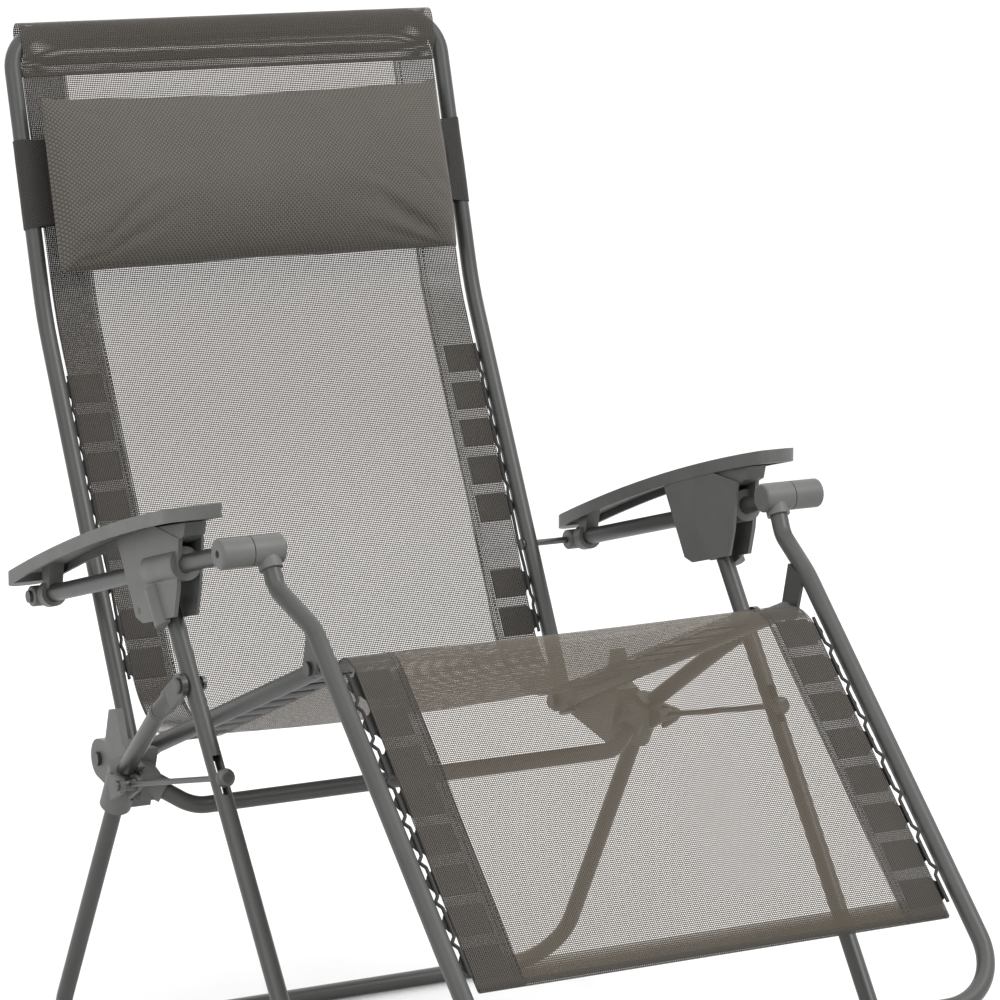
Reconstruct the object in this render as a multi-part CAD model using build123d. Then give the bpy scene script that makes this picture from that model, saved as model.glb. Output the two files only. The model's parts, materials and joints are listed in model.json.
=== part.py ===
from build123d import *
import math
import os

# Zero gravity recliner, upright position. Millimetres, +Z up.
# +X is the sitter's left hand, the sitter faces -Y, the floor is z = 0.
# Side-view points are (y, z) pairs; every frame is mirrored about x = 0.

# ---------------------------------------------------------------- driving sizes
TUBE_R = 9.0
TUBE_WALL = 1.5
PIN_R = 4.0
FIT = 0.05
GAP = 0.4

# side-view pivots
SEAT_PIVOT = (260.0, 337.0)
ARM_PIVOT = (339.8, 500.0)
KNUCKLE = (-121.0, 624.0)
KNEE_PIVOT = (-179.0, 516.0)
LEG_CROSS = (-16.7, 474.0)
LEG_TOP = (32.3, 545.0)
STRUT_EYE = (140.0, 338.0)
STRUT_CROSS = (-74.1, 390.9)

# side-view shape points
FRONT_FOOT = (-338.0, 9.0)
REAR_FOOT = (364.0, 9.0)
REAR_BEND = (171.0, 342.0)
BACK_BEND = (474.0, 774.0)
BACK_TOP = (559.0, 1074.0)
FOOT_END = (-561.5, 209.0)
KNEE_CORNER = (-226.0, 533.5)
LEG_HEM = (-490.0, 275.0)

# lateral stations of the tube axes
BACK_X = 262.0
SEAT_X = 258.0
FOOT_X = 279.0
FOOT_TOP_X = 290.0
ARM_X = 325.0
FRONT_LEG_X = 321.0
REAR_LEG_X = 313.0
LINK_X = 333.8

# sling
SLING_T = 2.4
BACK_HALF = 244.0
SEAT_HALF = 238.0
LEG_HALF = 258.0
CLIP_LEN = 26.0
CLIP_W = 13.0
CLIP_T = 6.0
CORD_R = 1.75
PITCH = 44.0

os.makedirs("parts", exist_ok=True)


# ---------------------------------------------------------------- helpers
def at(x, side):
    """Side-view point placed at lateral station x."""
    return Vector(x, side[0], side[1])


def between(a, b, t):
    """Point a share t of the way from side-view point a to b."""
    return (a[0] + (b[0] - a[0]) * t, a[1] + (b[1] - a[1]) * t)


def length(a, b):
    return math.hypot(b[0] - a[0], b[1] - a[1])


def toward(a, b, distance):
    """Point a given distance from a on the way to b."""
    return between(a, b, distance / length(a, b))


def offset(a, b, point, distance):
    """Point moved sideways from the line a to b; positive is the upper or front side."""
    span = length(a, b)
    return (point[0] + (b[1] - a[1]) / span * distance, point[1] - (b[0] - a[0]) / span * distance)


def route(points, radii):
    if len(points) == 2:
        return Line(*points)
    return FilletPolyline(*points, radius=radii)


def swept(points, radii, outer, inner=0.0):
    """Round bar or tube along straight runs joined by arcs."""
    path = route(points, radii)
    section = Circle(outer)
    if inner > 0:
        section = section - Circle(inner)
    return sweep(Plane(origin=path @ 0, z_dir=path % 0) * section, path=path)


def tube(points, radii=None):
    return swept(points, radii, TUBE_R, TUBE_R - TUBE_WALL)


def bore(points, radii=None, clearance=FIT):
    return swept(points, radii, TUBE_R + clearance)


def bar_x(side, x0, x1, radius):
    """Cylinder along X at a side-view point."""
    base = Plane(origin=at(x0, side), x_dir=(0, 1, 0), z_dir=(1, 0, 0))
    return extrude(base * Circle(radius), amount=x1 - x0)


def plate_x(outline, x0, x1):
    """Plate parallel to the YZ plane with a side-view outline."""
    face = make_face(Polyline(*[at(x0, p) for p in outline], close=True))
    return extrude(face, amount=x1 - x0, dir=(1, 0, 0))


def bar_along(a, b, radius):
    """Cylinder between two 3-D points."""
    axis = b - a
    return extrude(Plane(origin=a, z_dir=axis) * Circle(radius), amount=axis.length)


def flat_lug(centre, from_side, x_mid, half_width, thickness, reach):
    """Rounded flat lug round a pivot, reaching back along the tube it belongs to."""
    x0 = x_mid - thickness / 2
    disc = bar_x(centre, x0, x0 + thickness, half_width)
    tail = toward(centre, from_side, reach)
    edge = [
        offset(centre, tail, centre, half_width),
        offset(centre, tail, tail, half_width),
        offset(centre, tail, tail, -half_width),
        offset(centre, tail, centre, -half_width),
    ]
    return disc + plate_x(edge, x0, x0 + thickness)


def round_rim(solid, axis, first, radius):
    """Round one circular rim: the first or the last one along an axis."""
    rims = solid.edges().filter_by(GeomType.CIRCLE).sort_by(axis)
    return fillet(rims[0] if first else rims[-1], radius)


def mirrored(solid):
    return mirror(solid, about=Plane.YZ)


def both(solid):
    """Right-hand and left-hand copies as two separate solids."""
    return Compound(children=[solid, mirrored(solid)])


def save(name, shape):
    shape.label = name
    export_step(shape, f"parts/{name}.step")


def save_pair(name, solid):
    """One node for each side; +X is the sitter's left."""
    save(f"{name}_left", solid)
    save(f"{name}_right", mirrored(solid))


def u_frame(points, radii):
    """Tube that runs down one side, across and up the other, from its left-hand points."""
    other = [Vector(-p.X, p.Y, p.Z) for p in reversed(points)]
    return points + other, radii + radii[::-1]


# ---------------------------------------------------------------- front leg frame
leg_dir = (Vector(0, *LEG_TOP) - Vector(0, *FRONT_FOOT)).normalized()
front_pts, front_radii = u_frame(
    [at(FRONT_LEG_X, toward(LEG_TOP, FRONT_FOOT, -2)), at(FRONT_LEG_X, FRONT_FOOT)], [62.0]
)


def make_front_legs():
    frame = tube(front_pts, front_radii)
    for sign in (1, -1):
        x = sign * FRONT_LEG_X
        slot = Plane(origin=at(x, STRUT_CROSS), x_dir=(1, 0, 0), z_dir=leg_dir)
        frame -= slot * Box(8.4, 30, 42)
        frame -= bar_x(LEG_CROSS, x - 15, x + 15, PIN_R + FIT)
    return frame


def make_leg_cap():
    """Rounded plastic plug that closes the top of a front leg."""
    seat = at(FRONT_LEG_X, toward(LEG_TOP, FRONT_FOOT, -2))
    stem = bar_along(seat - leg_dir * 14, seat, TUBE_R - TUBE_WALL - FIT)
    dome = bar_along(seat, seat + leg_dir * 5, TUBE_R)
    return stem + round_rim(dome, Axis.Z, False, 3.5)


def make_cross_rivet():
    """Rivet that pins the rear link to the outer side of the front leg."""
    shank = bar_x(LEG_CROSS, FRONT_LEG_X - 10, LINK_X + 4.2, PIN_R)
    head = bar_x(LEG_CROSS, LINK_X + 3.4, LINK_X + 6.4, 8)
    tail = bar_x(LEG_CROSS, FRONT_LEG_X - 12.5, FRONT_LEG_X - TUBE_R - FIT, 7)
    head = round_rim(head, Axis.X, False, 2)
    return shank + head + tail


# ---------------------------------------------------------------- rear leg frame
LINK_ROUND = 62.0
link_end = toward(LEG_CROSS, REAR_BEND, LINK_ROUND)
rear_half = [at(LINK_X, link_end), at(REAR_LEG_X, REAR_BEND), at(REAR_LEG_X, REAR_FOOT)]
rear_pts, rear_radii = u_frame(rear_half, [45.0, 62.0])
CROSSBAR = (133.0, 308.0)
crossbar_half = [Vector(288, 158, 331), Vector(252, *CROSSBAR)]
crossbar_pts, crossbar_radii = u_frame(crossbar_half, [38.0])


def lofted_flat(x_round, x_flat, round_at, flat_at, thickness, half_width, collar):
    """Transition from a round tube to a flattened end; the collar is the swell of the crimp."""
    axis = Vector(0, flat_at[0] - round_at[0], flat_at[1] - round_at[1])
    start = Plane(origin=at(x_round, round_at), x_dir=(1, 0, 0), z_dir=axis)
    stop = Plane(origin=at(x_flat, flat_at), x_dir=(1, 0, 0), z_dir=axis)
    flat = RectangleRounded(thickness, 2 * half_width, thickness * 0.45)
    return loft([start * Circle(TUBE_R + collar), stop * flat])


def make_rear_legs():
    frame = tube(rear_pts, rear_radii)
    crimp = toward(LEG_CROSS, REAR_BEND, LINK_ROUND + 6)
    flat_from = toward(LEG_CROSS, REAR_BEND, 34)
    end = lofted_flat(LINK_X - 0.6, LINK_X, crimp, flat_from, 6, 12, 0.7)
    end += flat_lug(LEG_CROSS, REAR_BEND, LINK_X, 11.8, 5.8, 44)
    end -= bar_x(LEG_CROSS, LINK_X - 8, LINK_X + 8, PIN_R + FIT)
    return frame + end + mirrored(end)


def make_clamp():
    """Moulded junction that holds the rear leg bend, the crossbar, the seat pivot and the strut."""
    low = toward(REAR_BEND, REAR_FOOT, 44)
    high = toward(REAR_BEND, REAR_FOOT, -8)
    body = bar_along(at(REAR_LEG_X, high), at(REAR_LEG_X, low), 16.5)
    arm_face = [(166, 366), (188, 300), (262, 316), (262, 358)]
    body += plate_x(arm_face, 275.5, 301)
    body += bar_x(SEAT_PIVOT, 275.5, 301, 21)
    prong = [(150, 352), (176, 326), (236, 352), (222, 398), (204, 402), (190, 368)]
    body += plate_x(prong, 298, 306)
    body += plate_x([(148, 316), (148, 344), (176, 354), (192, 318)], 282, 304)
    socket_a = crossbar_half[0] + (crossbar_half[0] - crossbar_half[1]).normalized() * 8
    socket_b = crossbar_half[0] + (crossbar_half[1] - crossbar_half[0]).normalized() * 16
    body += bar_along(socket_a, socket_b, 13.5)
    for x0 in (308.5, 327.6):
        cheek = [(168, 345), (160, 318), (136, 331), (136, 345)]
        body += plate_x(cheek, x0, x0 + 5.5)
        body += bar_x(STRUT_EYE, x0, x0 + 5.5, 7.5)
    body -= bore(rear_pts, rear_radii)
    body -= bore(crossbar_pts, crossbar_radii)
    body -= bar_x(SEAT_PIVOT, 270, 310, PIN_R + FIT)
    body -= bar_x(STRUT_EYE, 300, 340, 3 + FIT)
    body -= bar_x(STRUT_EYE, 314.2, 327.4, 9)
    for step in range(3):
        rib = toward(REAR_BEND, REAR_FOOT, 16 + 9 * step)
        body -= Pos(REAR_LEG_X - 13, rib[0] - 14, rib[1]) * Box(10, 8, 3)
    return body


def make_strut_pin():
    pin = bar_x(STRUT_EYE, 308, 333.6, 3)
    return pin + bar_x(STRUT_EYE, 333.2, 336, 5.5)


# ---------------------------------------------------------------- strut rods
strut_dir = (Vector(0, *STRUT_CROSS) - Vector(0, *STRUT_EYE)).normalized()


def make_strut():
    """Rod that slides through the front leg; its domed head limits how far the legs open."""
    eye = at(ARM_X - 4, STRUT_EYE)
    head = at(ARM_X - 4, STRUT_CROSS) + strut_dir * 13.8
    rod = bar_along(eye, head, 3)
    rod += bar_x(STRUT_EYE, 315, 327, 6.5)
    rod -= bar_x(STRUT_EYE, 310, 330, 3 + FIT)
    button = bar_along(head, head + strut_dir * 8, 9.5)
    button = round_rim(button, Axis.Y, True, 5)
    return rod + button


# ---------------------------------------------------------------- back frame
back_foot = toward(SEAT_PIVOT, BACK_BEND, -13)
back_half = [at(BACK_X, back_foot), at(BACK_X, BACK_BEND), at(BACK_X, BACK_TOP)]
back_pts, back_radii = u_frame(back_half, [320.0, 42.0])


def make_back_tube():
    frame = tube(back_pts, back_radii)
    for sign in (1, -1):
        x = sign * BACK_X
        frame -= bar_x(SEAT_PIVOT, x - 14, x + 14, PIN_R + FIT)
        frame -= bar_x(ARM_PIVOT, x - 14, x + 14, 3.5 + FIT)
    return frame


def make_tube_plug(end, inside, x):
    """Push-in plug that closes an open tube end."""
    start = at(x, end)
    away = (start - at(x, inside)).normalized()
    flange = bar_along(start, start + away * 2, TUBE_R)
    return flange + bar_along(start - away * 7, start, TUBE_R - TUBE_WALL - FIT)


def make_pivot_bolt():
    """Bolt through clamp, back tube and seat rail lug, with a head at each end and one washer."""
    bolt = bar_x(SEAT_PIVOT, 244, 304, PIN_R)
    bolt += bar_x(SEAT_PIVOT, 243, 247.8, 7.5)
    bolt += bar_x(SEAT_PIVOT, 301.4, 305.4, 7.5)
    return bolt + bar_x(SEAT_PIVOT, 271.4, 275.1, 10)


def make_arm_bolt():
    """Long bolt from the back tube out to the rear arm knuckle."""
    bolt = bar_x(ARM_PIVOT, 252, 343, 3.5)
    bolt += bar_x(ARM_PIVOT, 251.4, 252.9, 6.5)
    return bolt + bar_x(ARM_PIVOT, 341.4, 344.4, 6.5)


# ---------------------------------------------------------------- seat frame
rail_rear = toward(SEAT_PIVOT, KNEE_PIVOT, 46)
rail_front = toward(KNEE_PIVOT, SEAT_PIVOT, -13)


def make_seat_rail():
    """Side rail, flattened at the rear into the lug of the seat pivot."""
    rail = tube([at(SEAT_X, rail_rear), at(SEAT_X, rail_front)])
    lug_x = 250.5
    crimp = toward(SEAT_PIVOT, KNEE_PIVOT, 50)
    rail += lofted_flat(SEAT_X, lug_x, crimp, toward(SEAT_PIVOT, KNEE_PIVOT, 22), 4, 12, 0.5)
    rail += flat_lug(SEAT_PIVOT, KNEE_PIVOT, lug_x, 11.8, 3.8, 28)
    rail -= bar_x(SEAT_PIVOT, lug_x - 6, lug_x + 6, PIN_R + FIT)
    return rail - bar_x(KNEE_PIVOT, SEAT_X - 12, SEAT_X + 12, PIN_R + FIT)


def make_knee_rivet():
    rivet = bar_x(KNEE_PIVOT, 246, 277, PIN_R)
    rivet += bar_x(KNEE_PIVOT, 245, 248.6, 7)
    rivet += bar_x(KNEE_PIVOT, 267.4, 270.1, 8)
    return rivet + bar_x(KNEE_PIVOT, 274.4, 277.4, 7)


# ---------------------------------------------------------------- foot frame
foot_half = [
    at(FOOT_TOP_X, toward(KNUCKLE, (-141.0, 588.0), 9)),
    Vector(288, -141, 588),
    Vector(FOOT_X, -200, 560),
    at(FOOT_X, FOOT_END),
]
foot_pts, foot_radii = u_frame(foot_half, [26.0, 60.0, 70.0])


def make_foot_bracket():
    """Ear under the bend of the foot tube, which carries the knee pivot."""
    ear = [(-205, 556), (-178, 566), (-166, 518), (-178, 504), (-192, 512)]
    plate = plate_x(ear, 270.5, 274)
    plate += bar_x(KNEE_PIVOT, 270.5, 274, 11)
    plate -= bore(foot_pts, foot_radii)
    return plate - bar_x(KNEE_PIVOT, 265, 280, PIN_R + FIT)


def make_inner_knuckle():
    barrel = bar_x(KNUCKLE, 273.5, 307.4, 15)
    barrel = round_rim(barrel, Axis.X, True, 3)
    neck = foot_half[0] + (foot_half[1] - foot_half[0]).normalized() * 11
    barrel += bar_along(at(FOOT_TOP_X, KNUCKLE), neck, 12)
    return barrel - bore(foot_pts, foot_radii)


# ---------------------------------------------------------------- arm tubes
arm_dir = (Vector(0, *KNUCKLE) - Vector(0, *ARM_PIVOT)).normalized()
arm_pts = [at(ARM_X, toward(ARM_PIVOT, KNUCKLE, 6)), at(ARM_X, toward(KNUCKLE, ARM_PIVOT, 7))]


def make_outer_knuckle():
    barrel = bar_x(KNUCKLE, 308.3, 342, 15)
    barrel = round_rim(barrel, Axis.X, False, 3)
    centre = at(ARM_X, KNUCKLE)
    barrel += bar_along(centre, centre - arm_dir * 21, 12)
    barrel -= bore(arm_pts)
    return barrel - bar_x(KNUCKLE, 336.5, 345, 4)


def make_rear_knuckle():
    barrel = bar_x(ARM_PIVOT, 309.5, 340.8, 11)
    barrel = round_rim(barrel, Axis.X, True, 2)
    barrel = round_rim(barrel, Axis.X, False, 2)
    barrel -= bore(arm_pts)
    return barrel - bar_x(ARM_PIVOT, 305, 345, 3.5 + FIT)


# ---------------------------------------------------------------- arm carriers
PAD_X = (307.5, 360.5)
PAD_T = 14.0
PAD_TOP = [(-68, 663), (30, 641), (140, 605.5), (260, 562), (369, 520)]
PAD_ROOF = 6.0


def pad_height(y):
    """Height of the pad's upper surface, a shallow arch."""
    t = (y - PAD_TOP[0][0]) / (PAD_TOP[-1][0] - PAD_TOP[0][0])
    chord = PAD_TOP[0][1] + (PAD_TOP[-1][1] - PAD_TOP[0][1]) * t
    return chord + 4 * 10.0 * t * (1 - t)


def pad_slab(y0, y1, up, down, x0, x1):
    """Slab that follows the pad's arch between two depths below its top."""
    steps = [y0 + (y1 - y0) * i / 8 for i in range(9)]
    upper = Spline(*[Vector(x0, y, pad_height(y) - up) for y in steps])
    lower = Spline(*[Vector(x0, y, pad_height(y) - down) for y in steps])
    face = make_face([upper, Line(upper @ 1, lower @ 1), lower, Line(lower @ 0, upper @ 0)])
    return extrude(face, amount=x1 - x0, dir=(1, 0, 0))


def make_pad():
    """Armrest: an arched shell with a rounded plan and an open channel below."""
    slab = pad_slab(-68, 369, 0, PAD_T, *PAD_X)
    plan = Pos((PAD_X[0] + PAD_X[1]) / 2, 150.5) * Rectangle(PAD_X[1] - PAD_X[0], 437)
    corners = plan.vertices().sort_by(Axis.Y)
    front = corners[:2].sort_by(Axis.X)
    plan = fillet(front[1], 30)
    plan = fillet(plan.vertices().sort_by(Axis.Y)[:1], 10)
    plan = fillet(plan.vertices().sort_by(Axis.Y)[-2:], 20)
    pad = slab & extrude(plan, amount=800)
    channel = pad_slab(-48, 350, PAD_ROOF, PAD_T + 6, PAD_X[0] + 4, PAD_X[1] - 4)
    return pad - channel


SLEEVE_MID = (23.5, ARM_PIVOT[1] + (ARM_PIVOT[0] - 23.5) * 0.2691)


def make_bracket():
    """Carrier: a sleeve round the arm tube, two webs astride the front leg, a block in the pad."""
    centre = at(ARM_X, SLEEVE_MID)
    body = bar_along(centre - arm_dir * 38, centre + arm_dir * 38, 17)
    web = [(129, 596), (84, 524), (68, 521), (-6, 541), (-14, 570), (-20, 622), (40, 625)]
    body += plate_x(web, 331.2, 335.6)
    body += plate_x(web, 308.0, 310.9)
    block = [(129, 596), (60, 598), (-10, 616), (-30, 626), (-34, 640), (120, 604)]
    body += plate_x(block, 311.8, 335)
    rib_low = at(FRONT_LEG_X + 11, toward(LEG_TOP, FRONT_FOOT, 22))
    rib = bar_along(rib_low, rib_low + leg_dir * 42, 11)
    rib &= Pos(341.2, 30, 560) * Box(20, 120, 120)
    body += rib
    body -= bar_along(centre - arm_dir * 130, centre + arm_dir * 60, TUBE_R + 0.3)
    body -= pad_slab(-70, 371, -5, PAD_T + 0.1, PAD_X[0] - 1, PAD_X[0] + 4.1)
    body -= Pos(321.05, 45, 540) * Box(20.3, 160, 54)
    body -= bar_x((77, 532), 333, 340, 3.5)
    return body - pad_slab(-70, 371, -5, PAD_ROOF + 0.05, PAD_X[0], PAD_X[1])


def make_hanger():
    """Ring that guides the rear of the arm tube under the pad."""
    middle = at(ARM_X, toward(ARM_PIVOT, KNUCKLE, 19.5))
    ring = bar_along(middle - arm_dir * 7, middle + arm_dir * 7, 14)
    stem = [(312, 506), (326, 503), (327, 532), (305, 540)]
    ring += plate_x(stem, 317, 333)
    ring -= bar_along(middle - arm_dir * 30, middle + arm_dir * 30, TUBE_R + 0.3)
    return ring - pad_slab(-70, 371, -20, PAD_ROOF + 0.05, PAD_X[0], PAD_X[1])


def make_pad_screw():
    """Countersunk screw from the bracket up into the pad."""
    return bar_x((77, 532), 333.2, 335.9, 3.4)


# ---------------------------------------------------------------- sling
BACK_SLING_LOW = toward(SEAT_PIVOT, BACK_BEND, 66)
BACK_SLING_TOP = toward(BACK_TOP, BACK_BEND, 22)
SEAT_SLING_REAR = toward(SEAT_PIVOT, KNEE_PIVOT, 62)
SEAT_SLING_FRONT = toward(KNEE_PIVOT, SEAT_PIVOT, 10)


def panel(points, half_width):
    """Flat fabric panel that follows a side-view line."""
    solid = None
    for a, b in zip(points, points[1:]):
        edge = [
            offset(a, b, a, SLING_T / 2),
            offset(a, b, b, SLING_T / 2),
            offset(a, b, b, -SLING_T / 2),
            offset(a, b, a, -SLING_T / 2),
        ]
        strip = plate_x(edge, -half_width, half_width)
        solid = strip if solid is None else solid + strip
    return solid


def make_top_sleeve():
    """Fabric pocket wrapped round the top bar of the back frame."""
    ring = swept([Vector(-216, *BACK_TOP), Vector(216, *BACK_TOP)], None, 11.5, TUBE_R + 0.3)
    return ring


def clip_places(a, b, first, count, left_out=()):
    """Clip centres at an even pitch; one is left out where a bolt head is in the way."""
    return [toward(a, b, first + PITCH * i) for i in range(count) if i not in left_out]


def make_clips(a, b, places, edge_x):
    """Hooked clips along the left-hand edge of a panel, split clear of the fabric."""
    solids = []
    for place in places:
        x0 = edge_x + 0.3
        ends = [toward(place, b, -CLIP_LEN / 2), toward(place, b, CLIP_LEN / 2)]
        low, high = ends
        body = plate_x(
            [
                offset(a, b, low, CLIP_T / 2),
                offset(a, b, high, CLIP_T / 2),
                offset(a, b, high, -CLIP_T / 2),
                offset(a, b, low, -CLIP_T / 2),
            ],
            x0,
            x0 + CLIP_W - 5,
        )
        body -= bar_along(at(x0 + 4.6, ends[0]), at(x0 + 4.6, ends[1]), CORD_R + 0.05)
        solids.append(body)
    return solids


def lacing_points(a, b, places, edge_x, tube_x):
    """Zigzag of the elastic between the clips and the inside of the tube."""
    x_clip = edge_x + 4.9
    x_tube = tube_x - TUBE_R - CORD_R - 0.4
    points = []
    for place, following in zip(places, places[1:] + [None]):
        points.append(at(x_clip, toward(place, b, -CLIP_LEN / 2 - 2.4)))
        points.append(at(x_clip, toward(place, b, CLIP_LEN / 2 + 2.4)))
        if following:
            gap = length(place, following)
            x_middle = x_tube if gap < PITCH + 1 else x_clip - 1.0
            points.append(at(x_middle, toward(place, b, gap / 2)))
    return points


def make_lacing(a, b, places, edge_x, tube_x):
    points = lacing_points(a, b, places, edge_x, tube_x)
    cord = swept(points, [2.6] * (len(points) - 2), CORD_R)
    return cord


def edge_kit(name, a, b, places, edge_x, tube_x):
    """Clips and lacing on both edges of a panel."""
    clips = make_clips(a, b, places, edge_x)
    save(f"{name}_clips_left", Compound(children=clips))
    save(f"{name}_clips_right", Compound(children=[mirrored(c) for c in clips]))
    cord = make_lacing(a, b, places, edge_x, tube_x)
    save_pair(f"{name}_lacing", cord)


# ---------------------------------------------------------------- pillow
PILLOW_HALF = 238.0
PILLOW_H = 190.0
PILLOW_T = 62.0
PILLOW_MID = toward(BACK_BEND, BACK_TOP, 141)


def make_pillow():
    middle = offset(BACK_BEND, BACK_TOP, PILLOW_MID, -(PILLOW_T / 2 + SLING_T / 2 + 0.8))
    up = Vector(0, BACK_TOP[0] - BACK_BEND[0], BACK_TOP[1] - BACK_BEND[1])
    frame = Plane(origin=at(0, middle), x_dir=(1, 0, 0), z_dir=up)
    block = Box(2 * PILLOW_HALF, PILLOW_T, PILLOW_H)
    block = fillet(block.edges().filter_by(Axis.X), 24)
    return frame * block


def make_strap():
    """Fabric loop round the back tube beside the pillow."""
    low = toward(BACK_BEND, BACK_TOP, 104)
    high = toward(BACK_BEND, BACK_TOP, 186)
    a = at(BACK_X, low)
    b = at(BACK_X, high)
    ring = bar_along(a, b, 11.2)
    shift = -11.2
    tongue = [
        offset(BACK_BEND, BACK_TOP, low, shift),
        offset(BACK_BEND, BACK_TOP, high, shift),
        offset(BACK_BEND, BACK_TOP, high, shift + 2.4),
        offset(BACK_BEND, BACK_TOP, low, shift + 2.4),
    ]
    ring += plate_x(tongue, PILLOW_HALF + 0.4, BACK_X)
    axis = (b - a).normalized()
    return ring - bar_along(a - axis * 5, b + axis * 5, TUBE_R + 0.3)


# ---------------------------------------------------------------- build and write
save("front_leg_frame", make_front_legs())
save("front_leg_caps", both(make_leg_cap()))
save("leg_cross_rivets", both(make_cross_rivet()))

save("rear_leg_frame", make_rear_legs())
save_pair("junction_clamp", make_clamp())
save("rear_crossbar", tube(crossbar_pts, crossbar_radii))
save("strut_pivot_pins", both(make_strut_pin()))
save("strut_rods", both(make_strut()))

save("back_pivot_bolts", both(make_pivot_bolt()))
save("back_frame_tube", make_back_tube())
save("back_tube_plugs", both(make_tube_plug(back_foot, BACK_BEND, BACK_X)))

save_pair("seat_rail", make_seat_rail())
save("seat_rail_plugs", both(make_tube_plug(rail_front, SEAT_PIVOT, SEAT_X)))
save("knee_rivets", both(make_knee_rivet()))

save("foot_frame_tube", tube(foot_pts, foot_radii))
save("foot_brackets", both(make_foot_bracket()))
save_pair("front_knuckle_inner", make_inner_knuckle())

save_pair("arm_tube", tube(arm_pts))
save_pair("front_knuckle_outer", make_outer_knuckle())
save_pair("rear_arm_knuckle", make_rear_knuckle())
save("arm_pivot_bolts", both(make_arm_bolt()))

save_pair("armrest_pad", make_pad())
save_pair("arm_bracket", make_bracket())
save_pair("arm_hanger_ring", make_hanger())
save("bracket_screws", both(make_pad_screw()))

save("back_sling", panel([BACK_SLING_LOW, BACK_BEND, BACK_SLING_TOP], BACK_HALF))
save("top_sleeve", make_top_sleeve())
save("seat_sling", panel([SEAT_SLING_REAR, SEAT_SLING_FRONT], SEAT_HALF))
save("leg_sling", panel([KNEE_CORNER, LEG_HEM], LEG_HALF))
back_places = clip_places(SEAT_PIVOT, BACK_BEND, 96, 8, left_out=(2,))
edge_kit("back", SEAT_PIVOT, BACK_BEND, back_places, BACK_HALF, BACK_X)
edge_kit("seat", SEAT_PIVOT, KNEE_PIVOT, clip_places(SEAT_PIVOT, KNEE_PIVOT, 96, 8), SEAT_HALF, SEAT_X)
edge_kit("leg", KNEE_CORNER, FOOT_END, clip_places(KNEE_CORNER, FOOT_END, 32, 8), LEG_HALF, FOOT_X)

save("head_pillow", make_pillow())
save("pillow_straps", both(make_strap()))
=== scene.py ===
import bmesh
import bpy
import json
import math
from mathutils import Matrix, Vector, noise


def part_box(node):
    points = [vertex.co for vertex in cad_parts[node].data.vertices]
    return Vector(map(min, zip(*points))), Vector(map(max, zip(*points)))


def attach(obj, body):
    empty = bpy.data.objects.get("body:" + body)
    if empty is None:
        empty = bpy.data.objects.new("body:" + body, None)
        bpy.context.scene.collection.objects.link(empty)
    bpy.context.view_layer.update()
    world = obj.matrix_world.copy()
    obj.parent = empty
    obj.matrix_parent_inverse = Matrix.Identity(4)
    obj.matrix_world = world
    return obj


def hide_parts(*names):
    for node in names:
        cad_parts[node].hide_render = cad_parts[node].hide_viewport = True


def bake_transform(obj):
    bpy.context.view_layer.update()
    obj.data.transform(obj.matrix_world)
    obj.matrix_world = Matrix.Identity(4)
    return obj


# Looks of the zero gravity recliner: laced mesh sling, head pillow, finishes, studio.
# Metres, in the row frame. "Side" points are (y, z) pairs.

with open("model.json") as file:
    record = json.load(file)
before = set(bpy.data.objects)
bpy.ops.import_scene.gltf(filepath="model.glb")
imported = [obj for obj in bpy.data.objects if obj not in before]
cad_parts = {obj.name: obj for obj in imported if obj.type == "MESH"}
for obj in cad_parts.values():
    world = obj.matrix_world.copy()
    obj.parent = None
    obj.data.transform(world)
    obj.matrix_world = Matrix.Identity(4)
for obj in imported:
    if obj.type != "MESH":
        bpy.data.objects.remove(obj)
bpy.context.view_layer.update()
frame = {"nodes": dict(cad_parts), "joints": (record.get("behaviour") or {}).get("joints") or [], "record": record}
NODES = frame["nodes"]
JOINTS = {j["name"]: j for j in frame["joints"]}

# ---------------------------------------------------------------- sizes
TUBE_R = 0.009
BAND_W = 0.050          # doubled edge band of the sling
BAND_BEHIND = 0.0027    # how far the band's second layer lies behind the first
BAND_WEAVE_SHIFT = 0.0003   # of the second layer's threads against the first layer's
CORNER_R = 0.090        # sling's bend between back and seat
BACK_BEND_R = 0.320
CREST_R = 0.045         # sling's bend over the knees
CREST_RISE = (-0.003, 0.006)
CREST_BLEND_R = CREST_R * 1.6   # reach round the knee bend that gives the ends of the seat_front and leg stretches in SEGMENTS
TOP_HALF = 0.2505       # half width of the sling under the top sleeve
SEAM_DROP = 0.046       # top sleeve's seam, below the top bar
HEM_DEPTH = 0.026       # foot hem's folded layer behind the sling
STITCH_PITCH = 0.0046
STITCH_LEN = 0.0032
CLIP_PITCH = 0.044
CLIP_LEN = 0.032
THREAD_PITCH = 0.0021


# ---------------------------------------------------------------- side-view geometry
def vec2(a, b, t):
    return (a[0] + (b[0] - a[0]) * t, a[1] + (b[1] - a[1]) * t)


def distance(a, b):
    return math.hypot(b[0] - a[0], b[1] - a[1])


def step(a, b, d):
    """Point a distance d from a on the way to b."""
    return vec2(a, b, d / distance(a, b))


def unit(a, b):
    d = distance(a, b)
    return ((b[0] - a[0]) / d, (b[1] - a[1]) / d)


def joint_side(name):
    p = JOINTS[name]["pos_m"]
    return (p[1], p[2])


def panel_line(node):
    """Middle line of a CAD fabric panel in side view, lowest point first."""
    found = []
    for v in NODES[node].data.vertices:
        p = (v.co.y, v.co.z)
        near = [q for q in found if distance(q[0], p) < 0.007]
        if near:
            near[0][1].append(p)
        else:
            found.append((p, [p]))
    line = []
    for _, members in found:
        apart = sorted(set((round(y, 5), round(z, 5)) for y, z in members))
        line.append((sum(y for y, _ in apart) / len(apart), sum(z for _, z in apart) / len(apart)))
    return sorted(line, key=lambda p: p[1])


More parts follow.
